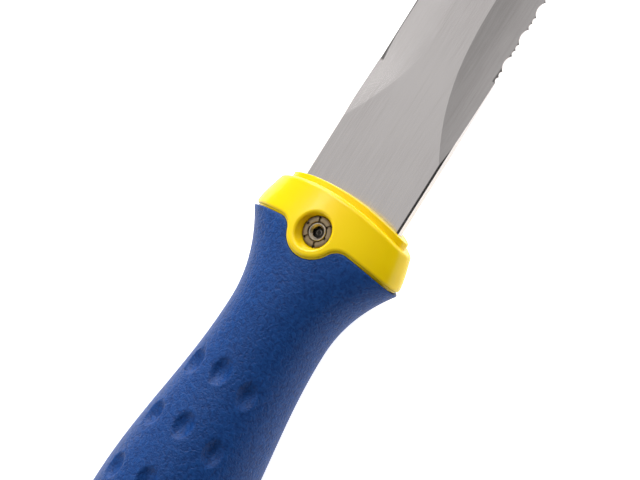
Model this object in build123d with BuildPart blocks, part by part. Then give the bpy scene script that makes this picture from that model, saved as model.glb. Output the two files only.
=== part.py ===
"""Rigging knife: a fixed, double-edged blade in a two-colour moulded handle.

The knife lies flat on its rear face. +Y runs to the blade's point, +X to the scalloped edge and +Z out of
the face that shows the clamp screw. The origin is under the middle of the whole knife, on the ground.
Distances along the knife are "reach" values from the collar's lip: ahead of it positive, behind negative.
"""
from build123d import *
import math
import os

# ---- overall ----
blade_reach = 120.0        # collar lip to point
handle_length = 128.0      # collar lip to butt
fit = 0.10                 # clearance round every piece that is set into another

# ---- blade ----
blade_width = 30.0
blade_thickness = 3.0
edge_break = 0.45          # chamfer on the unsharpened stretch
tip_length = 42.0          # spear point, measured back from the tip
tip_round = 1.0
edge_land = 0.64           # thickness left at the edge by the hollow grinds
cutting_land = 0.16        # thickness of the cutting edge itself
bevel_slope = 0.36
bevel_start = 34.8
hollow_radius = 85.0       # grinding wheel
plain_grind_start = 17.5
plain_grind_full = 40.5
plain_grind_width = 9.8
plain_grind_sweep = 1.4    # how fast the plunge opens out
scallop_grind_start = 19.7
scallop_grind_full = 65.0
scallop_grind_width = 11.0
scallop_grind_sweep = 2.8

# ---- scallops ----
scallop_start = 44.4
scallop_sets = 5
small_scallop = 1.65       # length along the edge
small_scallop_depth = 0.45
large_scallop = 4.35
large_scallop_depth = 0.95

# ---- tang ----
shoulder_depth = 5.0       # how far the full-width blade enters the collar
tang_width = 18.0
tang_depth = 78.0          # end of the tang, behind the lip
pin_radius = 2.4
pin_length = 17.0
pin_places = (40.0, 64.0)  # behind the lip

# ---- collar ----
lip_width = 36.0
lip_depth = 14.0
lip_height = 1.6          # step between the lip and the collar's body
collar_top_width = 38.7    # where the lip's middle is
collar_top_depth = 19.0
collar_low_width = 44.4    # at the parting line's corners
collar_low_depth = 24.2
collar_proud = 0.5         # the collar stands this much above the grip
collar_round = 1.2         # rounding of the body's top edge
collar_low_round = 0.8     # and along the parting line
lip_round = 0.3
pocket_round = 0.7
rim_round = 0.5            # grip's edge along the parting line
lip_crown = 2.8            # rise of the arched lip from its corners to its middle
parting_middle = 9.3       # parting line behind the lip's corners, on the centre line
parting_corner = 11.6      # and at the collar's corners
lobe_radius = 7.0
lobe_blend = 4.5
parting_gap = 0.4
groove_depth = 0.8         # depth of the groove at the parting line
spigot_depth = 24.0        # end of the collar's spigot, behind the lip

# ---- clamp screw and its bushes ----
screw_depth = 9.0          # axis, behind the lip
bush_radius = 4.0
bush_face = 9.2            # height of the bush above the blade's mid-plane
bush_thickness = 3.2
bush_notches = 6
notch_width = 0.7
notch_depth = 0.5
notch_turn = 20.0
pocket_rim_radius = 5.1
head_radius = 2.3
head_height = 1.8
washer_thickness = 0.6
shank_radius = 1.45
shank_length = 11.4
socket_radius = 1.4        # across the six lobes, T10
socket_depth = 1.3
socket_mouth = 1.95
barrel_radius = 2.5
barrel_head_thickness = 2.0
barrel_end = 4.5           # top of the barrel above the mid-plane
bore_radius = 1.5
bore_floor = -6.0
spanner_hole = 0.55
turning_fit = 0.08         # radial clearance round the parts that turn

# ---- grip ----
grip_wall = 2.0
flare_width = 45.0         # at the rim's corners
flare_depth = 23.0
neck_reach = -34.0
neck_width = 27.4
neck_depth = 25.0
swell_reach = -90.0
swell_width = 37.2
swell_depth = 34.0
grip_end_width = 30.0
grip_end_depth = 27.0
grip_end = 118.0           # end of the grip, behind the lip
dimple_first = 51.6        # first ring of finger dimples, behind the lip
dimple_pitch = 15.9
dimple_rings = 4
dimple_stagger = 1.8       # the middle column stands this much ahead
dimple_turn = 35.0         # columns to each side of the middle one, degrees round the section
dimple_length = 7.3
dimple_width = 5.3
dimple_depth = 1.0

# ---- butt ----
plug_depth = 2.0
butt_face_share = 0.62     # flat end as a share of the grip's end section
insert_radius = 2.8
insert_length = 7.0
butt_shank_radius = 2.0
butt_shank_short = 1.2     # the shank ends this far short of its insert's end
butt_head_radius = 3.5
butt_head_height = 2.2
butt_head_sink = 3.6
butt_washer_radius = 3.8
butt_washer_thickness = 0.8
butt_socket_radius = 1.95  # T20

# ---- lanyard hole ----
lanyard_depth = 103.0      # axis, behind the lip
lanyard_radius = 3.0
eyelet_wall = 0.8
eyelet_flange = 5.2
flange_thickness = 0.8
eyelet_sink = 0.5

# ---- derived places ----
lip_y = (handle_length - blade_reach) / 2
mid_z = swell_depth / 2
rim_corner = parting_corner + parting_gap
lobe_end = screw_depth + lobe_radius
tip_start = blade_reach - tip_length
half_width = blade_width / 2
half_thickness = blade_thickness / 2
knife_plane = Plane((0, lip_y, mid_z), x_dir=(1, 0, 0), z_dir=(0, 0, 1))
screw_plane = Plane((0, lip_y - screw_depth, mid_z), x_dir=(1, 0, 0), z_dir=(0, 0, 1))
lanyard_plane = Plane((0, lip_y - lanyard_depth, mid_z), x_dir=(1, 0, 0), z_dir=(0, 0, 1))
bush_floor = bush_face - bush_thickness
dimple_ball = (dimple_width**2 / 4 + dimple_depth**2) / (2 * dimple_depth)

os.makedirs("parts", exist_ok=True)


def cross_plane(reach):
    """Plane across the knife: local x is the knife's X, local y its Z."""
    return Plane((0, lip_y + reach, mid_z), x_dir=(1, 0, 0), z_dir=(0, -1, 0))


def save(solid, name):
    solid.label = name
    export_step(solid, f"parts/{name}.step")


# ---------------------------------------------------------------- sections

def ease(t):
    """Smooth step from 0 to 1."""
    return (1 - math.cos(math.pi * min(max(t, 0.0), 1.0))) / 2


def profile(reach, edge, neck, swell, end):
    """Half size of the grip at a reach, from full sizes at its rim, neck, swell and end."""
    if reach > neck_reach:
        return neck / 2 + (edge - neck) / 2 * ((reach - neck_reach) / (-rim_corner - neck_reach))**2
    if reach > swell_reach:
        return neck / 2 + (swell - neck) / 2 * ease((neck_reach - reach) / (neck_reach - swell_reach))
    past = (swell_reach - reach) / (swell_reach + grip_end)
    return swell / 2 - (swell - end) / 2 * past**2


def grip_half_width(reach):
    return profile(reach, flare_width, neck_width, swell_width, grip_end_width)


def grip_half_depth(reach):
    return profile(reach, flare_depth, neck_depth, swell_depth, grip_end_depth)


def spaced(first, last, count):
    return [first + (last - first) * i / (count - 1) for i in range(count)]


def oval_body(reaches, inset):
    """Solid that follows the grip's oval sections, set in by a margin."""
    with BuildPart() as body:
        for reach in reaches:
            with BuildSketch(cross_plane(reach)):
                Ellipse(grip_half_width(reach) - inset, grip_half_depth(reach) - inset)
        loft()
    return body.part


# ---------------------------------------------------------------- blade

def tip_arc_radius():
    """Radius of the edge arc that meets both the straight edge and the rounded tip."""
    run = tip_length - tip_round
    return (half_width**2 + run**2 - tip_round**2) / (2 * (half_width - tip_round))


def edge_x(reach):
    """Half width of the blade, carried on past the tip for the grinding tools."""
    radius = tip_arc_radius()
    past = max(0.0, reach - tip_start)
    return half_width - radius + math.sqrt(radius**2 - past**2)


def grind_width(reach, start, full_at, width, sweep):
    """Width of a hollow grind: opens out from its plunge, then stays constant."""
    t = (reach - start) / (full_at - start)
    if t < 0:
        return width * sweep * t
    return width * (1 - (1 - min(t, 1.0))**sweep)


def grind_tool(side, start, full_at, width, sweep):
    """Grinding wheel's path along one edge, front face."""
    inner = 1.5
    outer = 2.0
    slope = (half_thickness - edge_land / 2) / width
    plunge = spaced(start - 1.5, full_at, 7)
    straight = spaced(full_at, tip_start, 4)[1:]
    point = spaced(tip_start, blade_reach + 1.0, 5)[1:]
    with BuildPart() as tool:
        for reach in plunge + straight + point:
            ground = grind_width(reach, start, full_at, width, sweep)
            chord = inner + ground + outer
            sag = chord**2 / (8 * hollow_radius)
            start_slope = slope + 4 * sag / chord
            near = (side * (edge_x(reach) - ground - inner), half_thickness + start_slope * inner)
            far = (side * (edge_x(reach) + outer), half_thickness - slope * (ground + outer))
            middle = ((near[0] + far[0]) / 2, (near[1] + far[1]) / 2 - sag)
            with BuildSketch(cross_plane(reach)):
                with BuildLine():
                    ThreePointArc(near, middle, far)
                    Line(far, (far[0], blade_thickness))
                    Line((far[0], blade_thickness), near)
                make_face()
        loft()
    return tool.part


def bevel_tool(side, start):
    """Whetstone's path along one edge, front face."""
    inner = 2.0
    outer = 1.0
    point = spaced(tip_start, blade_reach + 1.0, 11)
    with BuildPart() as tool:
        for reach in [start] + point:
            near = (side * (edge_x(reach) - inner), cutting_land / 2 + bevel_slope * inner)
            far = (side * (edge_x(reach) + outer), cutting_land / 2 - bevel_slope * outer)
            with BuildSketch(cross_plane(reach)):
                with BuildLine():
                    Polyline(near, far, (far[0], blade_thickness), near)
                make_face()
        loft(ruled=True)
    return tool.part


def scallops():
    """Centre and radius of every scallop along the +X edge: two small ones, then a large one."""
    found = []
    reach = scallop_start
    for _ in range(scallop_sets):
        for length, depth in ((small_scallop, small_scallop_depth),
                              (small_scallop, small_scallop_depth),
                              (large_scallop, large_scallop_depth)):
            radius = (length**2 / 4 + depth**2) / (2 * depth)
            centre = reach + length / 2
            found.append((edge_x(centre) + radius - depth, centre, radius))
            reach += length
    return found


radius = tip_arc_radius()
arc_centre = Vector(half_width - radius, tip_start)
round_centre = Vector(0, blade_reach - tip_round)
meeting = arc_centre + (round_centre - arc_centre) * (radius / (radius - tip_round))

with BuildPart() as blade:
    with BuildSketch(knife_plane):
        with BuildLine():
            Line((0, -shoulder_depth), (half_width, -shoulder_depth))
            Line((half_width, -shoulder_depth), (half_width, tip_start))
            TangentArc((half_width, tip_start), (meeting.X, meeting.Y), tangent=(0, 1))
            RadiusArc((meeting.X, meeting.Y), (0, blade_reach), -tip_round)
            mirror(about=Plane.YZ)
        make_face()
    extrude(amount=half_thickness, both=True)
    long_edges = blade.edges().filter_by(Axis.Y)
    chamfer(long_edges, edge_break)
    plain = grind_tool(-1, plain_grind_start, plain_grind_full, plain_grind_width, plain_grind_sweep)
    waved = grind_tool(1, scallop_grind_start, scallop_grind_full, scallop_grind_width, scallop_grind_sweep)
    bevels = [bevel_tool(-1, bevel_start), bevel_tool(1, scallop_start)]
    for tool in [plain, waved] + bevels:
        add(tool, mode=Mode.SUBTRACT)
        add(tool.mirror(knife_plane), mode=Mode.SUBTRACT)
    with BuildSketch(knife_plane):
        for x, reach, scallop_radius in scallops():
            with Locations((x, reach)):
                Circle(scallop_radius)
    extrude(amount=blade_thickness, both=True, mode=Mode.SUBTRACT)
    with BuildSketch(knife_plane):
        with Locations((0, -(tang_depth + shoulder_depth) / 2)):
            Rectangle(tang_width, tang_depth - shoulder_depth)
    extrude(amount=half_thickness, both=True)
    with BuildSketch(knife_plane):
        with Locations((0, -screw_depth)):
            Circle(barrel_radius + fit)
        with Locations(*[(0, -place) for place in pin_places]):
            Circle(pin_radius + fit)
    extrude(amount=blade_thickness, both=True, mode=Mode.SUBTRACT)
save(blade.part, "blade")


# ---------------------------------------------------------------- collar

def arc_radius(half_chord, rise):
    """Radius of the arc that rises this much over half its chord."""
    return (half_chord**2 + rise**2) / (2 * rise)


def parting_outline(lower):
    """Everything ahead of the arched parting line, with its round lobe behind the screw."""
    margin = 10
    arch = arc_radius(collar_low_width / 2, parting_corner - parting_middle)
    with BuildSketch(knife_plane) as outline:
        with Locations((0, (margin - parting_corner - margin) / 2)):
            Rectangle(flare_width + margin, 2 * margin + parting_corner)
        with Locations((0, -parting_middle - lower - arch)):
            Circle(arch, mode=Mode.SUBTRACT)
        with Locations((0, -screw_depth)):
            Circle(lobe_radius + lower)
        corners = [v for v in outline.vertices() if abs(v.X) < lobe_radius + lower + 0.1]
        fillet(corners, lobe_blend - lower)
    return outline.sketch


def arched_top(drop):
    """Everything behind an arc that runs parallel to the lip's arched top edge."""
    arch = arc_radius(lip_width / 2, lip_crown)
    with BuildSketch(knife_plane) as outline:
        with Locations((0, lip_crown - arch)):
            Circle(arch - drop)
    return outline.sketch


def parting_edges(piece):
    """Edges of a body where its outer face meets the parting line."""
    highest = lip_y - parting_middle + 1
    lowest = lip_y - lobe_end - 1

    def at_parting(edge):
        return lowest < edge.position_at(0.5).Y < highest and abs(edge.tangent_at(0.5).Z) < 0.9
    return piece.edges().filter_by(at_parting)


def round_the_screw(edge):
    """True for an edge that runs all round the clamp screw's axis."""
    box = edge.bounding_box()
    middle = box.center()
    off_axis = math.hypot(middle.X, middle.Y - lip_y + screw_depth)
    return off_axis < 1 and box.size.X > bush_radius


def pocket(floor, face):
    """Funnel that leads to a bush: straight wall round the bush, then a flared mouth."""
    seat = bush_radius + fit
    mouth_top = collar_low_depth / 2 + 2
    mouth_slope = (pocket_rim_radius - seat) / (collar_low_depth / 2 - face)
    with BuildPart() as cut:
        with BuildSketch(Plane((0, lip_y - screw_depth, mid_z), x_dir=(1, 0, 0), z_dir=(0, -1, 0))):
            with BuildLine():
                Polyline((0, floor), (seat, floor), (seat, face),
                         (seat + mouth_slope * (mouth_top - face), mouth_top), (0, mouth_top), (0, floor))
            make_face()
        revolve(axis=Axis((0, lip_y - screw_depth, mid_z), (0, 0, 1)))
    return cut.part


def groove_floor():
    """Carries the spigot forward under the groove, all along the arch."""
    inset = grip_wall + fit
    with BuildPart() as floor:
        for reach in (1 - parting_middle, -rim_corner):
            with BuildSketch(cross_plane(reach)):
                Ellipse(grip_half_width(-rim_corner) - inset, grip_half_depth(reach) - inset)
        loft()
    return floor.part


def collar_body(inset, lower, drop):
    """Collar's tapered body, set in by a margin, its parting line moved back and its top cut off by a drop."""
    with BuildPart() as body:
        for reach, half_wide, half_deep in collar_sections:
            with BuildSketch(cross_plane(reach)):
                Ellipse(half_wide - inset, half_deep - inset)
        loft()
        extrude(parting_outline(lower), amount=swell_depth, both=True, mode=Mode.INTERSECT)
        extrude(arched_top(drop), amount=swell_depth, both=True, mode=Mode.INTERSECT)
    return body.part


lobe_tail = -lobe_end - 2
collar_sections = (
    (lip_crown, collar_top_width / 2, collar_top_depth / 2),
    ((lip_crown - parting_corner) / 2, (collar_top_width + collar_low_width) / 4,
     (collar_top_depth + collar_low_depth) / 4),
    (-parting_corner, collar_low_width / 2, collar_low_depth / 2),
    (lobe_tail, grip_half_width(lobe_tail) + collar_proud, grip_half_depth(lobe_tail) + collar_proud),
)

with BuildPart() as lip:
    with BuildSketch(cross_plane(lip_crown)):
        Ellipse(lip_width / 2, lip_depth / 2)
    extrude(amount=lip_crown + parting_middle)
    extrude(arched_top(0), amount=swell_depth, both=True, mode=Mode.INTERSECT)
    fillet(lip.faces().sort_by(Axis.Y)[-1].edges(), lip_round)

with BuildPart() as collar:
    add(collar_body(0, 0, lip_height))
    top_edge = collar.faces().sort_by(Axis.Y)[-1].edges()
    fillet(top_edge, collar_round)
    fillet(parting_edges(collar), collar_low_round)
    add(lip.part)
    add(oval_body(spaced(-rim_corner, -spigot_depth, 5), grip_wall + fit))
    add(groove_floor())
    add(collar_body(groove_depth, parting_gap - fit, 3 * lip_height))
    add(pocket(bush_floor, bush_face), mode=Mode.SUBTRACT)
    add(pocket(bush_floor, bush_face).mirror(knife_plane), mode=Mode.SUBTRACT)
    mouths = collar.edges().filter_by(round_the_screw).sort_by(Axis.Z)
    fillet([mouths[0], mouths[-1]], pocket_round)
    with BuildSketch(knife_plane):
        with Locations((0, -screw_depth)):
            Circle(barrel_radius + fit)
    extrude(amount=swell_depth, both=True, mode=Mode.SUBTRACT)
    with BuildSketch(knife_plane):
        with Locations((0, 0)):
            Rectangle(blade_width + 2 * fit, 2 * (shoulder_depth + fit))
        with Locations((0, -spigot_depth / 2)):
            Rectangle(tang_width + 2 * fit, spigot_depth + 2)
    extrude(amount=half_thickness + fit, both=True, mode=Mode.SUBTRACT)
save(collar.part, "collar")


# ---------------------------------------------------------------- grip sleeve

def dimple_former():
    """Rounded former of a finger dimple, long axis along the knife, centred on the origin."""
    cross_reach = dimple_ball - dimple_depth
    half_length = dimple_length / 2 / math.sqrt(1 - (cross_reach / dimple_ball)**2)
    with BuildPart() as former:
        with BuildSketch(Plane.XY) as outline:
            Ellipse(dimple_ball, half_length)
            split(bisect_by=Plane.YZ)
        revolve(axis=Axis.Y)
    return former.part


def dimple_places():
    """Where the formers press in: three columns on each face of the grip."""
    places = []
    for ring in range(dimple_rings):
        for turn in (-dimple_turn, 0, dimple_turn):
            reach = -(dimple_first + ring * dimple_pitch)
            if turn == 0:
                reach += dimple_stagger
            if turn == 0 and reach < dimple_length - lanyard_depth:
                continue
            for face in (1, -1):
                angle = math.radians(turn)
                across = grip_half_width(reach) * math.sin(angle)
                height = grip_half_depth(reach) * math.cos(angle)
                slope = math.atan2(grip_half_depth(reach) * math.sin(angle),
                                   grip_half_width(reach) * math.cos(angle))
                lift = dimple_ball - dimple_depth
                places.append((across + lift * math.sin(slope), lip_y + reach,
                               mid_z + face * (height + lift * math.cos(slope))))
    return places


def eyelet_room():
    """Space for the lanyard eyelet: its bore right through, and a recess for the flange on each face."""
    seat = grip_half_depth(-lanyard_depth) - eyelet_sink - flange_thickness
    with BuildPart() as room:
        with BuildSketch(lanyard_plane):
            Circle(lanyard_radius + eyelet_wall + fit)
        extrude(amount=swell_depth, both=True)
        for face in (1, -1):
            with BuildSketch(lanyard_plane.offset(face * seat)):
                Circle(eyelet_flange + fit)
            extrude(amount=face * swell_depth)
    return room.part


flare_reaches = spaced(1 - parting_middle, neck_reach, 7)
swell_reaches = spaced(neck_reach, swell_reach, 6)[1:]
end_reaches = spaced(swell_reach, -grip_end, 4)[1:]
grip_reaches = flare_reaches + swell_reaches + end_reaches

with BuildPart() as grip_sleeve:
    add(oval_body(grip_reaches, 0))
    extrude(parting_outline(parting_gap), amount=swell_depth, both=True, mode=Mode.SUBTRACT)
    fillet(parting_edges(grip_sleeve), rim_round)
    former = dimple_former()
    for place in dimple_places():
        add(former.moved(Location(place)), mode=Mode.SUBTRACT)
    add(oval_body(grip_reaches, grip_wall), mode=Mode.SUBTRACT)
    add(eyelet_room(), mode=Mode.SUBTRACT)
save(grip_sleeve.part, "grip_sleeve")


# ---------------------------------------------------------------- core halves and tang pins

core_start = spigot_depth + fit
core_end = grip_end - plug_depth
core_reaches = spaced(-core_start + 1.0, swell_reach, 7) + spaced(swell_reach, -grip_end, 4)[1:]

with BuildPart() as core:
    add(oval_body(core_reaches, grip_wall + fit))
    with BuildSketch(knife_plane):
        with Locations((0, -(core_start + core_end) / 2)):
            Rectangle(flare_width, core_end - core_start)
    extrude(amount=swell_depth, both=True, mode=Mode.INTERSECT)
    with BuildSketch(knife_plane):
        with Locations((0, -tang_depth / 2)):
            Rectangle(tang_width + 2 * fit, tang_depth + 2 * fit)
    extrude(amount=half_thickness + fit, both=True, mode=Mode.SUBTRACT)
    with BuildSketch(knife_plane):
        with Locations(*[(0, -place) for place in pin_places]):
            Circle(pin_radius + fit)
    extrude(amount=pin_length / 2 + fit, both=True, mode=Mode.SUBTRACT)
    add(eyelet_room(), mode=Mode.SUBTRACT)
    with BuildSketch(cross_plane(-core_end)):
        Circle(insert_radius + fit)
    extrude(amount=-(insert_length + fit), mode=Mode.SUBTRACT)

with BuildPart() as core_front:
    add(core.part)
    split(bisect_by=knife_plane.offset(fit / 2), keep=Keep.TOP)
save(core_front.part, "core_front")

with BuildPart() as core_rear:
    add(core.part)
    split(bisect_by=knife_plane.offset(-fit / 2), keep=Keep.BOTTOM)
save(core_rear.part, "core_rear")

with BuildPart() as tang_pins:
    with BuildSketch(knife_plane):
        with Locations(*[(0, -place) for place in pin_places]):
            Circle(pin_radius)
    extrude(amount=pin_length / 2, both=True)
    chamfer(tang_pins.edges().filter_by(GeomType.CIRCLE), 0.3)
save(tang_pins.part, "tang_pins")


# ---------------------------------------------------------------- clamp screw and bushes

def lobed_socket(radius):
    """Six-lobed socket, its radius measured to the tips of the lobes."""
    lobe = 0.21 * radius
    Circle(0.80 * radius)
    with PolarLocations(radius - lobe, 6):
        Circle(lobe)


head_seat = bush_face - head_height - washer_thickness

with BuildPart() as front_bush:
    with BuildSketch(screw_plane.offset(bush_floor)):
        Circle(bush_radius)
        Circle(shank_radius + fit, mode=Mode.SUBTRACT)
    extrude(amount=bush_thickness)
    with BuildSketch(screw_plane.offset(head_seat)):
        Circle(head_radius + turning_fit)
    extrude(amount=bush_thickness, mode=Mode.SUBTRACT)
    chamfer(front_bush.edges().filter_by(GeomType.CIRCLE).sort_by(Axis.Z)[-2:], 0.25)
    with BuildSketch(screw_plane.offset(bush_face)):
        with PolarLocations(bush_radius - 0.5, bush_notches, start_angle=notch_turn - 90):
            Rectangle(2.0, notch_width)
    extrude(amount=-notch_depth, mode=Mode.SUBTRACT)
save(front_bush.part, "front_bush")

with BuildPart() as lock_washer:
    with BuildSketch(screw_plane.offset(head_seat)):
        Circle(head_radius)
        Circle(shank_radius + turning_fit, mode=Mode.SUBTRACT)
    extrude(amount=washer_thickness)
save(lock_washer.part, "lock_washer")

with BuildPart() as clamp_screw:
    with BuildSketch(screw_plane.offset(bush_face - head_height)):
        Circle(head_radius)
    extrude(amount=head_height)
    with BuildSketch(screw_plane.offset(bush_face - head_height)):
        Circle(shank_radius)
    extrude(amount=-shank_length)
    chamfer(clamp_screw.faces().sort_by(Axis.Z)[0].edges(), 0.3)
    chamfer(clamp_screw.faces().sort_by(Axis.Z)[-1].edges(), 0.15)
    with BuildSketch(screw_plane.offset(bush_face)):
        lobed_socket(socket_radius)
    extrude(amount=-socket_depth, mode=Mode.SUBTRACT)
    with BuildSketch(screw_plane.offset(bush_face)):
        Circle(socket_mouth)
    extrude(amount=-(socket_mouth - 0.8 * socket_radius), taper=45, mode=Mode.SUBTRACT)
save(clamp_screw.part, "clamp_screw")

with BuildPart() as rear_barrel_nut:
    with BuildSketch(screw_plane.offset(-bush_face)):
        Circle(bush_radius)
    extrude(amount=bush_thickness)
    chamfer(rear_barrel_nut.faces().sort_by(Axis.Z)[0].edges(), 0.25)
    with BuildSketch(screw_plane.offset(-bush_floor)):
        Circle(barrel_radius)
    extrude(amount=bush_floor + barrel_end)
    with BuildSketch(screw_plane.offset(barrel_end)):
        Circle(bore_radius)
    extrude(amount=bore_floor - barrel_end, mode=Mode.SUBTRACT)
    with BuildSketch(screw_plane.offset(-bush_face)):
        with PolarLocations(bush_radius - 1.2, 2, start_angle=90):
            Circle(spanner_hole)
    extrude(amount=1.2, mode=Mode.SUBTRACT)
save(rear_barrel_nut.part, "rear_barrel_nut")


# ---------------------------------------------------------------- butt cap and its fixing

end_half_width = grip_half_width(-grip_end)
end_half_depth = grip_half_depth(-grip_end)
cap_depth = handle_length - grip_end
head_floor = -handle_length + butt_head_sink
butt_shank_length = insert_length - core_end - butt_shank_short - head_floor + butt_washer_thickness

with BuildPart() as butt_cap:
    for share, size in ((0, 1.0), (0.35, 0.985), (0.7, 0.88), (1.0, butt_face_share)):
        with BuildSketch(cross_plane(-grip_end - share * cap_depth)):
            Ellipse(end_half_width * size, end_half_depth * size)
    loft()
    with BuildSketch(cross_plane(-grip_end)):
        Ellipse(end_half_width - grip_wall - fit, end_half_depth - grip_wall - fit)
    extrude(amount=-(plug_depth - fit))
    with BuildSketch(cross_plane(-handle_length)):
        Circle(butt_washer_radius + fit)
    extrude(amount=-butt_head_sink, mode=Mode.SUBTRACT)
    with BuildSketch(cross_plane(-handle_length)):
        Circle(butt_shank_radius + fit)
    extrude(amount=-handle_length / 2, mode=Mode.SUBTRACT)
save(butt_cap.part, "butt_cap")

with BuildPart() as butt_washer:
    with BuildSketch(cross_plane(head_floor)):
        Circle(butt_washer_radius)
        Circle(butt_shank_radius + fit, mode=Mode.SUBTRACT)
    extrude(amount=butt_washer_thickness)
save(butt_washer.part, "butt_washer")

with BuildPart() as butt_screw:
    with BuildSketch(cross_plane(head_floor - butt_washer_thickness)):
        Circle(butt_head_radius)
    extrude(amount=butt_head_height)
    head_rim = butt_screw.faces().sort_by(Axis.Y)[0].edges()
    fillet(head_rim, 0.6)
    with BuildSketch(cross_plane(head_floor - butt_washer_thickness)):
        Circle(butt_shank_radius)
    extrude(amount=-butt_shank_length)
    with BuildSketch(cross_plane(head_floor - butt_washer_thickness - butt_head_height)):
        lobed_socket(butt_socket_radius)
    extrude(amount=-butt_head_height * 0.6, mode=Mode.SUBTRACT)
save(butt_screw.part, "butt_screw")

with BuildPart() as butt_insert:
    with BuildSketch(cross_plane(-core_end)):
        Circle(insert_radius)
        Circle(butt_shank_radius + fit / 2, mode=Mode.SUBTRACT)
    extrude(amount=-insert_length)
save(butt_insert.part, "butt_insert")


# ---------------------------------------------------------------- lanyard eyelet

eyelet_half = grip_half_depth(-lanyard_depth) - eyelet_sink
eyelet_outer = lanyard_radius + eyelet_wall

with BuildPart() as lanyard_eyelet:
    with BuildSketch(lanyard_plane.offset(-eyelet_half)):
        Circle(eyelet_outer)
    extrude(amount=2 * eyelet_half)
    with BuildSketch(lanyard_plane.offset(eyelet_half - flange_thickness)):
        Circle(eyelet_flange)
    extrude(amount=flange_thickness)
    with BuildSketch(lanyard_plane.offset(-eyelet_half)):
        Circle(lanyard_radius)
    extrude(amount=2 * eyelet_half, mode=Mode.SUBTRACT)
    chamfer(lanyard_eyelet.faces().sort_by(Axis.Z)[-1].edges(), 0.2)
save(lanyard_eyelet.part, "lanyard_eyelet")

with BuildPart() as eyelet_washer:
    with BuildSketch(lanyard_plane.offset(-eyelet_half)):
        Circle(eyelet_flange)
        Circle(eyelet_outer + fit / 2, mode=Mode.SUBTRACT)
    extrude(amount=flange_thickness)
save(eyelet_washer.part, "eyelet_washer")
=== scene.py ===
"""Rigging knife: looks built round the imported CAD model.

Everything is in metres in the CAD's frame: +Y to the blade's point, +X to the scalloped edge, +Z out of the
face with the clamp screw. "Reach" is the distance along the knife from the lip's corners, negative behind.
"""

import math

import bmesh
import bpy
from mathutils import Matrix, Vector


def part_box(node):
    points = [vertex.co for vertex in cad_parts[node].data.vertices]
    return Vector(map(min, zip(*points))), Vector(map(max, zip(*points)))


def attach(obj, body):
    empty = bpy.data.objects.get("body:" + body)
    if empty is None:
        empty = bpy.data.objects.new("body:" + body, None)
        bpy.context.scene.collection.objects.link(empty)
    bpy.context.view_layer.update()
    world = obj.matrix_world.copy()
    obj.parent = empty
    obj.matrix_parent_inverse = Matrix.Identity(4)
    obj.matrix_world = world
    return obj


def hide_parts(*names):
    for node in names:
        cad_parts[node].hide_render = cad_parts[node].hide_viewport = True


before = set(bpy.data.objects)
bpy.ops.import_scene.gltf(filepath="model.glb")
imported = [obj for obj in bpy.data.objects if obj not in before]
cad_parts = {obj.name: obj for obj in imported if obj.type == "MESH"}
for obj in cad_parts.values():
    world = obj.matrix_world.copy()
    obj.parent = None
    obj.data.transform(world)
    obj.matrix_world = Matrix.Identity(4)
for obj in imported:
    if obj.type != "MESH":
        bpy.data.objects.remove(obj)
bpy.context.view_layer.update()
MM = 0.001


def centre(node):
    """Middle of a CAD node's box."""
    low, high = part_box(node)
    return (Vector(low) + Vector(high)) / 2


screw_centre = centre("front_bush")
eyelet_centre = centre("lanyard_eyelet")
mid_z = eyelet_centre.z
screw_depth = 9.0 * MM                          # from the lip's corners back to the clamp screw
lip_y = screw_centre.y + screw_depth

# ---------------------------------------------------------------- camera

camera_yaw = 25.95
camera_tilt = -2.76
camera_roll = 32.11
camera_distance = 0.872
camera_lens = 200
aim = Vector((-2.61 * MM, screw_centre.y - 1.77 * MM, mid_z))


def add_camera():
    """Long lens above the knife's front, turned so that the knife runs from lower left to upper right."""
    yaw, tilt, roll = (math.radians(a) for a in (camera_yaw, camera_tilt, camera_roll))
    back = Vector((math.sin(yaw) * math.cos(tilt), -math.sin(tilt), math.cos(yaw) * math.cos(tilt)))
    side = Vector((0, 1, 0)).cross(back).normalized()
    up = back.cross(side)
    right = math.cos(roll) * side + math.sin(roll) * up
    top = -math.sin(roll) * side + math.cos(roll) * up
    data = bpy.data.cameras.new("camera")
    data.sensor_width = 36
    data.lens = camera_lens
    data.clip_start = 0.05
    data.clip_end = 20
    camera = bpy.data.objects.new("camera", data)
    bpy.context.scene.collection.objects.link(camera)
    turn = Matrix((right, top, back)).transposed()
    camera.matrix_world = Matrix.Translation(aim + back * camera_distance) @ turn.to_4x4()
    bpy.context.scene.camera = camera


add_camera()

# ---------------------------------------------------------------- material helpers


def fill_ramp(ramp, stops):
    """Colour ramp with the given (position, colour) stops."""
    while len(ramp.elements) < len(stops):
        ramp.elements.new(0.5)
    for element, (position, colour) in zip(ramp.elements, stops):
        element.position = position
        element.color = (*colour, 1)


def shade(colour, factor):
    """A colour made darker or lighter, with no channel above one."""
    return tuple(min(1, channel * factor) for channel in colour)


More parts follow.
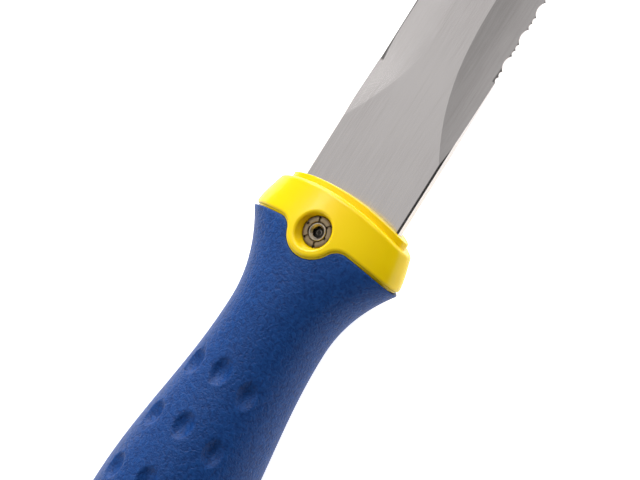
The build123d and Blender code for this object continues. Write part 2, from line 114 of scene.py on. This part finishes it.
class Surface:
    """A Principled material with short calls for the nodes that colour, roughen and bump it."""

    def __init__(self, name, colour, roughness, metallic=0.0):
        self.material = bpy.data.materials.new(name)
        self.material.use_nodes = True
        self.tree = self.material.node_tree
        self.shader = self.tree.nodes["Principled BSDF"]
        self.shader.inputs["Base Color"].default_value = (*colour, 1)
        self.shader.inputs["Roughness"].default_value = roughness
        self.shader.inputs["Metallic"].default_value = metallic
        self.place = self.tree.nodes.new("ShaderNodeTexCoord").outputs["Object"]

    def link(self, output, socket):
        """One node's output into another node's input."""
        self.tree.links.new(output, socket)

    def stretched(self, scale):
        """Object coordinates scaled per axis, so that a noise drawn on them runs in streaks."""
        mapping = self.tree.nodes.new("ShaderNodeMapping")
        mapping.inputs["Scale"].default_value = scale
        self.link(self.place, mapping.inputs["Vector"])
        return mapping.outputs["Vector"]

    def noise(self, scale, detail=3.0, vector=None, distortion=0.0):
        """Soft noise on the object's coordinates, or on another vector."""
        node = self.tree.nodes.new("ShaderNodeTexNoise")
        node.inputs["Scale"].default_value = scale
        node.inputs["Detail"].default_value = detail
        node.inputs["Distortion"].default_value = distortion
        self.link(vector or self.place, node.inputs["Vector"])
        return node.outputs["Fac"]

    def sum(self, first, second, share):
        """first + share x second."""
        node = self.tree.nodes.new("ShaderNodeMath")
        node.operation = "MULTIPLY_ADD"
        self.link(second, node.inputs[0])
        node.inputs[1].default_value = share
        self.link(first, node.inputs[2])
        return node.outputs[0]

    def ramp(self, value, low, high, start=0.3, end=0.7):
        """Value spread between two numbers."""
        node = self.tree.nodes.new("ShaderNodeMapRange")
        node.inputs["From Min"].default_value = start
        node.inputs["From Max"].default_value = end
        node.inputs["To Min"].default_value = low
        node.inputs["To Max"].default_value = high
        self.link(value, node.inputs["Value"])
        return node.outputs["Result"]

    def colours(self, value, stops):
        """Base colour from a value, through (position, colour) stops."""
        node = self.tree.nodes.new("ShaderNodeValToRGB")
        fill_ramp(node.color_ramp, stops)
        self.link(value, node.inputs["Fac"])
        self.link(node.outputs["Color"], self.shader.inputs["Base Color"])

    def rough(self, value):
        """Roughness from a value."""
        self.link(value, self.shader.inputs["Roughness"])

    def bump(self, height, distance, strength=1.0):
        """Bump whose relief is a distance in metres."""
        node = self.tree.nodes.new("ShaderNodeBump")
        node.inputs["Distance"].default_value = distance
        node.inputs["Strength"].default_value = strength
        self.link(height, node.inputs["Height"])
        self.link(node.outputs["Normal"], self.shader.inputs["Normal"])

    def rings(self, axis_point, scale):
        """Waves round the Z axis through a point, as a lathe leaves them."""
        mapping = self.tree.nodes.new("ShaderNodeMapping")
        mapping.inputs["Location"].default_value = (-axis_point.x, -axis_point.y, 0)
        mapping.inputs["Scale"].default_value = (1, 1, 0)
        self.link(self.place, mapping.inputs["Vector"])
        node = self.tree.nodes.new("ShaderNodeTexWave")
        node.wave_type = "RINGS"
        node.rings_direction = "Z"
        node.inputs["Scale"].default_value = scale
        node.inputs["Distortion"].default_value = 1.5
        node.inputs["Detail"].default_value = 2
        self.link(mapping.outputs["Vector"], node.inputs["Vector"])
        return node.outputs["Fac"]


# ---------------------------------------------------------------- materials

def blade_steel():
    """Satin ground stainless steel: fine streaks along the blade, soft cloudiness."""
    look = Surface("blade_steel", (0.60, 0.565, 0.54), 0.22, 1.0)
    streak_scale = (4200, 90, 90)                   # fine across the blade, long along it
    streaks = look.noise(1.0, 4.0, look.stretched(streak_scale))
    clouds = look.noise(38, 2.0)
    tone = look.sum(streaks, clouds, 0.6)
    look.colours(tone, ((0.50, (0.585, 0.55, 0.54)), (0.95, (0.635, 0.605, 0.595))))
    look.rough(look.ramp(tone, low=0.17, high=0.23, start=0.5, end=1.1))
    look.bump(streaks, distance=0.001 * MM, strength=0.3)
    return look.material


def collar_plastic():
    """Glossy moulded yellow plastic, very slightly uneven."""
    look = Surface("collar_plastic", (0.97, 0.68, 0.0), 0.22)
    skin = look.noise(900, 3.0)
    look.colours(look.noise(60, 2.0), ((0.3, (0.96, 0.66, 0.0)), (0.7, (0.98, 0.70, 0.0))))
    look.rough(look.ramp(skin, low=0.18, high=0.27))
    look.shader.inputs["Specular IOR Level"].default_value = 0.35
    look.bump(skin, distance=0.01 * MM, strength=0.5)
    look.shader.inputs["Subsurface Weight"].default_value = 0.12
    look.shader.inputs["Subsurface Scale"].default_value = 2 * MM
    look.shader.inputs["Subsurface Radius"].default_value = (1.0, 0.6, 0.1)
    return look.material


def grip_rubber():
    """Blue elastomer with a fine leather-like spark-eroded texture, with painted shade darkening its low
    creases.
    """
    look = Surface("grip_rubber", (0.004, 0.045, 0.21), 0.5)
    wrinkles = look.noise(1050, 2.5, distortion=0.8)
    grain = look.noise(2100, 2.0)
    relief = look.sum(wrinkles, grain, 0.45)
    # painted shade: the colour follows the relief, darker down in the texture's low creases
    look.colours(relief, ((0.50, (0.001, 0.033, 0.165)), (0.92, (0.007, 0.068, 0.280))))
    look.rough(look.ramp(grain, low=0.42, high=0.56))
    look.bump(relief, distance=0.5 * MM, strength=0.55)
    look.shader.inputs["Specular IOR Level"].default_value = 0.26
    return look.material


def turned_steel(name, colour, axis_point, face):
    """Brownish-grey turned steel with rings round the axis, and painted shade that darkens it down in its
    recesses below the face.
    """
    look = Surface(name, colour, 0.35, 1.0)
    marks = look.rings(axis_point, 260)
    spots = look.noise(1400, 3.0)
    height = look.tree.nodes.new("ShaderNodeSeparateXYZ")
    look.link(look.place, height.inputs[0])
    # painted shade: the colour darkens below the face, down in the socket and the other recesses
    lit = look.ramp(height.outputs["Z"], low=-1.2, high=0.0, start=face - 0.9 * MM, end=face - 0.35 * MM)
    tone = look.sum(look.sum(marks, spots, 0.7), lit, 1.0)
    # the darkest stop is where the painted shade of the recesses lands
    look.colours(tone, ((0.0, shade(colour, 0.08)), (0.35, shade(colour, 0.75)), (0.95, shade(colour, 1.25))))
    look.rough(look.ramp(spots, low=0.28, high=0.45))
    look.bump(marks, distance=0.01 * MM, strength=0.6)
    return look.material


def plain_metal(name, colour, roughness):
    """Machined metal with a light grain."""
    look = Surface(name, colour, roughness, 1.0)
    grain = look.noise(1200, 3.0)
    look.colours(grain, ((0.3, shade(colour, 0.85)), (0.7, shade(colour, 1.1))))
    look.rough(look.ramp(grain, low=roughness - 0.06, high=roughness + 0.08))
    look.bump(grain, distance=0.006 * MM, strength=0.5)
    return look.material


def core_plastic():
    """Plain moulded yellow plastic inside the grip."""
    look = Surface("core_plastic", (0.82, 0.60, 0.01), 0.45)
    grain = look.noise(700, 3.0)
    look.colours(grain, ((0.3, (0.78, 0.56, 0.01)), (0.7, (0.86, 0.63, 0.02))))
    look.rough(look.ramp(grain, low=0.4, high=0.55))
    look.bump(grain, distance=0.02 * MM, strength=0.5)
    return look.material


yellow = collar_plastic()
blue = grip_rubber()
finishes = {
    "blade": blade_steel(),
    "collar": yellow,
    "butt_cap": yellow,
    "core_front": core_plastic(),
    "front_bush": turned_steel("bush_steel", (0.27, 0.205, 0.125), screw_centre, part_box("front_bush")[1].z),
    "clamp_screw": turned_steel("screw_steel", (0.42, 0.37, 0.31), screw_centre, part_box("clamp_screw")[1].z),
    "tang_pins": plain_metal("pin_steel", (0.55, 0.55, 0.56), 0.3),
    "butt_insert": plain_metal("insert_brass", (0.72, 0.55, 0.25), 0.3),
    "lanyard_eyelet": plain_metal("eyelet_steel", (0.60, 0.60, 0.60), 0.28),
    "grip_sleeve": blue,
    "rear_barrel_nut": plain_metal("nut_steel", (0.30, 0.23, 0.15), 0.32),
    "butt_screw": plain_metal("butt_steel", (0.42, 0.37, 0.31), 0.3),
}
shared_finishes = {
    "core_rear": "core_front",
    "lock_washer": "butt_screw",
    "butt_washer": "rear_barrel_nut",
    "eyelet_washer": "lanyard_eyelet",
}
for node, like in shared_finishes.items():
    finishes[node] = finishes[like]


def paint(obj, material):
    """The material on every slot of an object."""
    if not obj.data.materials:
        obj.data.materials.append(material)
    for place in range(len(obj.data.materials)):
        obj.data.materials[place] = material


for node, material in finishes.items():
    paint(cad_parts[node], material)

# ---------------------------------------------------------------- grip sleeve

grip_wall = 2.0 * MM
flare = Vector((45.0, 23.0)) * MM / 2           # half width and half depth at the rim's corners
neck = Vector((27.4, 25.0)) * MM / 2
swell = Vector((37.2, 34.0)) * MM / 2
grip_end_size = Vector((30.0, 27.0)) * MM / 2
rim_gap = 0.4 * MM                              # the groove between the collar and the grip
rim_reach = -11.6 * MM - rim_gap
neck_reach = -34.0 * MM
swell_reach = -90.0 * MM
end_reach = -118.0 * MM
arch_middle = -9.3 * MM - rim_gap               # the rim on the centre line, were there no lobe
lobe_radius = 7.0 * MM + rim_gap
lobe_blend = 4.5 * MM - rim_gap
rim_round = 0.5 * MM
dimple_first = -51.6 * MM
dimple_pitch = 15.9 * MM
dimple_rings = 4
dimple_stagger = 1.8 * MM
dimple_turn = math.radians(35)
dimple_margin = 1.04                            # the pressed area against the dimple's own size
dimple_half = Vector((5.3, 7.3)) * MM / 2 * dimple_margin
dimple_depth = 1.5 * MM
dimple_fade = 1.05                              # 1 is a plain bowl, more fades it out at its edge
columns = 288
rows = 240
inside_rows = 12


def half_size(reach):
    """Half width and half depth of the grip at a reach."""
    if reach > neck_reach:
        return neck + (flare - neck) * ((reach - neck_reach) / (rim_reach - neck_reach))**2
    if reach > swell_reach:
        t = (neck_reach - reach) / (neck_reach - swell_reach)
        return neck + (swell - neck) * (1 - math.cos(math.pi * t)) / 2
    past = (swell_reach - reach) / (swell_reach - end_reach)
    return swell - (swell - grip_end_size) * past**2


arch_rise = arch_middle - rim_reach
arch_half = 22.2 * MM                           # from the centre line to where the arch meets rim_reach
arch_radius = (arch_half**2 + arch_rise**2) / (2 * arch_rise)
arch_y = arch_middle - arch_radius


def blend_centre():
    """Middle of the arc that rounds the rim's corner between its arch and its lobe."""
    to_lobe = lobe_radius + lobe_blend
    to_arch = arch_radius - lobe_blend
    apart = -screw_depth - arch_y
    along = (to_arch**2 - to_lobe**2 + apart**2) / (2 * apart)
    return Vector((math.sqrt(to_arch**2 - along**2), arch_y + along))


blend = blend_centre()
lobe_share = lobe_radius / (lobe_radius + lobe_blend)
lobe_limit = blend.x * lobe_share
arch_limit = blend.x * arch_radius / (arch_radius - lobe_blend)


def rim(x):
    """Reach of the grip's front rim at a distance from the centre line."""
    x = abs(x)
    if x < lobe_limit:
        return -screw_depth - math.sqrt(lobe_radius**2 - x**2)
    if x < arch_limit:
        return blend.y + math.sqrt(max(0, lobe_blend**2 - (x - blend.x)**2))
    return arch_y + math.sqrt(arch_radius**2 - x**2)


def rim_at(turn, inset):
    """Reach where a line along the grip at an angle round the section meets the rim."""
    low, high = -30 * MM, -5 * MM                   # the rim lies between these, halved 40 times
    for _ in range(40):
        middle = (low + high) / 2
        x = (half_size(middle).x - inset) * math.sin(turn)
        if middle < rim(x):
            low = middle
        else:
            high = middle
    return low


def grip_point(turn, reach, inset):
    """Place on the grip at an angle round the section and a reach, an inset below its surface."""
    half = half_size(reach)
    x = (half.x - inset) * math.sin(turn)
    z = mid_z + (half.y - inset) * math.cos(turn)
    return Vector((x, lip_y + reach, z))


def dimples():
    """Middle of every finger dimple as (angle round the section, reach, face)."""
    found = []
    for ring in range(dimple_rings):
        for turn in (-dimple_turn, 0, dimple_turn):
            reach = dimple_first - ring * dimple_pitch
            if turn == 0:
                reach += dimple_stagger
            if turn == 0 and ring == dimple_rings - 1:
                continue
            for face in (1, -1):
                found.append((turn, reach, face))
    return found


dimple_list = dimples()


def dimple_inset(turn, reach):
    """How far the finger dimples press the surface in at one place."""
    half = half_size(reach)
    depth = 0.0
    for at_turn, at_reach, face in dimple_list:
        along = (reach - at_reach) / dimple_half.y
        if abs(along) >= 1:
            continue
        middle = at_turn if face > 0 else math.pi - at_turn
        offset = (turn - middle + math.pi) % (2 * math.pi) - math.pi
        arc = math.hypot(half.x * math.cos(middle), half.y * math.sin(middle))
        across = offset * arc / dimple_half.x
        spread = along**2 + across**2
        if spread < 1:
            depth += dimple_depth * (1 - spread)**dimple_fade
    return depth


def grip_rings():
    """Rings of the sleeve as (share along the grip, inset, shift of reach).

    They go out over the front face, back along the outside and forward again along the inside.
    """
    corner = [math.radians(degrees) for degrees in (0, 22.5, 45, 67.5, 90)]
    arc = [(0.0, rim_round * (1 - math.sin(a)), -rim_round * (1 - math.cos(a))) for a in corner]
    outside = [(i / rows, 0.0, -rim_round * (1 - i / rows)) for i in range(1, rows + 1)]
    inside = [(1 - i / inside_rows, grip_wall, 0.0) for i in range(inside_rows)]
    return [(0.0, grip_wall, 0.0), (0.0, grip_wall / 2, 0.0)] + arc + outside + inside


def build_grip():
    """Mesh of the whole sleeve, closed, before its lanyard hole is cut."""
    mesh = bpy.data.meshes.new("grip_cover")
    body = bmesh.new()
    turns = [2 * math.pi * i / columns for i in range(columns)]
    starts = [rim_at(turn, 0) for turn in turns]
    rings = []
    for share, inset, shift in grip_rings():
        ring = []
        for turn, start in zip(turns, starts):
            reach = start + (end_reach - start) * share + shift
            pressed = dimple_inset(turn, reach) if inset == 0 else 0
            ring.append(body.verts.new(grip_point(turn, reach, inset + pressed)))
        rings.append(ring)
    for first, second in zip(rings, rings[1:] + rings[:1]):
        for i in range(columns):
            j = (i + 1) % columns
            body.faces.new((first[i], first[j], second[j], second[i]))
    bmesh.ops.recalc_face_normals(body, faces=body.faces)
    body.to_mesh(mesh)
    body.free()
    return mesh


def eyelet_cutter():
    """Stepped plug that opens the lanyard hole and the recesses for the eyelet's flanges."""
    bore = 3.9 * MM
    flange = 5.3 * MM
    flange_thickness = 0.8 * MM
    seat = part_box("lanyard_eyelet")[1].z - mid_z - flange_thickness
    beyond = 25 * MM                                # past the grip on both faces
    profile = ((bore, -seat), (flange, -seat), (flange, -beyond), (0, -beyond))
    profile = [(r, z) for r, z in reversed(profile)] + [(r, -z) for r, z in profile]
    plug = bmesh.new()
    around = 96
    rings = []
    for radius, height in profile:
        if radius == 0:
            rings.append([plug.verts.new((eyelet_centre.x, eyelet_centre.y, mid_z + height))])
            continue
        rings.append([plug.verts.new((
            eyelet_centre.x + radius * math.cos(2 * math.pi * i / around),
            eyelet_centre.y + radius * math.sin(2 * math.pi * i / around),
            mid_z + height)) for i in range(around)])
    for first, second in zip(rings, rings[1:]):
        for i in range(around):
            j = (i + 1) % around
            if len(first) == 1:
                plug.faces.new((first[0], second[i], second[j]))
            elif len(second) == 1:
                plug.faces.new((first[i], second[0], first[j]))
            else:
                plug.faces.new((first[i], second[i], second[j], first[j]))
    bmesh.ops.recalc_face_normals(plug, faces=plug.faces)
    mesh = bpy.data.meshes.new("eyelet_cutter")
    plug.to_mesh(mesh)
    plug.free()
    return mesh


def add_object(name, mesh):
    """An object of a mesh, in the scene."""
    obj = bpy.data.objects.new(name, mesh)
    bpy.context.scene.collection.objects.link(obj)
    return obj


def add_grip():
    """The sleeve with its lanyard hole, smooth apart from the cut edges."""
    whole = add_object("grip_blank", build_grip())
    cutter = add_object("eyelet_cutter", eyelet_cutter())
    cut = whole.modifiers.new("hole", "BOOLEAN")
    cut.operation = "DIFFERENCE"
    cut.object = cutter
    cut.solver = "EXACT"
    bpy.context.view_layer.update()
    done = bpy.data.meshes.new_from_object(whole.evaluated_get(bpy.context.evaluated_depsgraph_get()))
    for spare in (whole, cutter):
        bpy.data.objects.remove(spare, do_unlink=True)
    done.materials.clear()
    done.materials.append(blue)
    done.shade_smooth()
    sharp_angle = math.radians(50)
    done.set_sharp_from_angle(angle=sharp_angle)
    grip = add_object("grip_cover", done)
    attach(grip, "knife")
    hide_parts("grip_sleeve")


add_grip()

# ---------------------------------------------------------------- floor and light

floor_glow = 0.92
tent_strength = 1.75
# how far a direction points to the scalloped edge (-1 to 1), and how bright the tent is there
tent = ((-1.0, 0.10), (-0.86, 0.14), (-0.70, 0.47), (-0.44, 0.405), (-0.15, 0.235), (0.25, 0.12), (1.0, 0.03))


def add_floor():
    """Plain white ground that keeps the shadow faint."""
    half = 2.5
    level = -0.2 * MM
    mesh = bpy.data.meshes.new("floor")
    corners = [(x, y, level) for x, y in ((-half, -half), (half, -half), (half, half), (-half, half))]
    mesh.from_pydata(corners, [], [(0, 1, 2, 3)])
    look = Surface("floor_white", (0.9, 0.9, 0.9), 0.9)
    look.shader.inputs["Emission Color"].default_value = (1, 1, 1, 1)
    look.shader.inputs["Emission Strength"].default_value = floor_glow
    mesh.materials.append(look.material)
    add_object("floor", mesh)


def add_softbox(name, direction, distance, size, watts):
    """Area light that faces the knife's middle from a direction, unseen by the camera."""
    data = bpy.data.lights.new(name, "AREA")
    data.shape = "RECTANGLE"
    data.size, data.size_y = size
    data.energy = watts
    lamp = bpy.data.objects.new(name, data)
    bpy.context.scene.collection.objects.link(lamp)
    away = Vector(direction).normalized()
    lamp.location = Vector((0, 0, mid_z)) + away * distance
    lamp.rotation_mode = "QUATERNION"
    lamp.rotation_quaternion = (-away).to_track_quat("-Z", "Y")
    lamp.visible_camera = False


def add_studio():
    """Light tent that is brightest at 45 degrees on the plain edge's side and fades to the scalloped side."""
    world = bpy.data.worlds.new("studio")
    world.use_nodes = True
    tree = world.node_tree
    place = tree.nodes.new("ShaderNodeTexCoord").outputs["Generated"]
    split = tree.nodes.new("ShaderNodeSeparateXYZ")
    tree.links.new(place, split.inputs[0])
    spread = tree.nodes.new("ShaderNodeMapRange")
    spread.inputs["From Min"].default_value = -1
    spread.inputs["From Max"].default_value = 1
    tree.links.new(split.outputs["X"], spread.inputs["Value"])
    ramp = tree.nodes.new("ShaderNodeValToRGB")
    fill_ramp(ramp.color_ramp, [((x + 1) / 2, (level, level, level)) for x, level in tent])
    ramp.color_ramp.interpolation = "EASE"
    tree.links.new(spread.outputs["Result"], ramp.inputs["Fac"])
    background = tree.nodes["Background"]
    tree.links.new(ramp.outputs["Color"], background.inputs["Color"])
    background.inputs["Strength"].default_value = tent_strength
    bpy.context.scene.world = world


add_floor()
add_studio()
add_softbox("band", direction=(-0.44, 0.50, 0.74), distance=0.9, size=(0.50, 0.22), watts=2.9)
add_softbox("far_end", direction=(-0.66, 0.70, 0.24), distance=1.0, size=(0.5, 0.5), watts=5.6)
add_softbox("overhead", direction=(0.05, 0.80, 0.60), distance=1.1, size=(0.7, 0.4), watts=2.6)
add_softbox("near_end", direction=(-0.45, -0.85, 0.40), distance=1.0, size=(0.5, 0.4), watts=1.2)
bpy.context.scene.view_settings.view_transform = "Standard"
